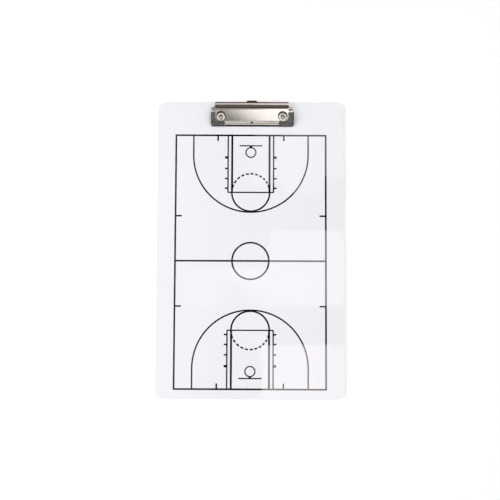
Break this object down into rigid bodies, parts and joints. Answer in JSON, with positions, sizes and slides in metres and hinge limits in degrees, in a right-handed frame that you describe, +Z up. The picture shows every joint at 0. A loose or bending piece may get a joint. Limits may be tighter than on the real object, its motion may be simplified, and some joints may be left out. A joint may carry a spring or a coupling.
{
  "type": "tactics board",
  "caption": "Coaching clipboard: white gloss board printed with a basketball court, with a low sprung clip, rubber corner pads and a pull-out hanging tab at the top edge.",
  "frame": {"origin": "middle of the board's back face, which lies on the table", "axes": "+X across the board to the right, +Y along the board towards the clip, +Z up out of the printed face"},
  "size_m": [0.22, 0.3513, 0.0135],
  "materials": {
    "board_core": "white, cut edge",
    "writing_film": "gloss white",
    "court_ink": "printed black under the gloss",
    "plated_steel": "bright nickel plate",
    "spring_wire": "drawn wire",
    "pad_rubber": "fine-grained black"
  },
  "bodies": {
    "board": {"core_panel": "board_core", "front_film": "writing_film", "back_film": "writing_film", "court_print": "court_ink", "clip_base_plate": "plated_steel", "eyelet_left": "plated_steel", "eyelet_right": "plated_steel", "eyelet_washer_left": "plated_steel", "eyelet_washer_right": "plated_steel", "hinge_pin": "plated_steel", "torsion_spring_left": "spring_wire", "torsion_spring_right": "spring_wire"},
    "clamp": {"clamp_plate": "plated_steel", "corner_pad_left": "pad_rubber", "corner_pad_right": "pad_rubber"},
    "tab": {"hang_tab": "plated_steel"}
  },
  "joints": [
    {"name": "clamp_hinge", "type": "hinge", "parent": "board", "child": "clamp", "pos_m": [0.0009, 0.1665, 0.00612], "axis": [-1, 0, 0], "range_deg": [0, 30], "stiffness_Nm_per_rad": 0.5, "springref_deg": -17.19, "deforming": ["torsion_spring_left", "torsion_spring_right"]},
    {"name": "tab_slide", "type": "slide", "parent": "board", "child": "tab", "axis": [0, 1, 0], "range_m": [0, 0.0125]}
  ]
}
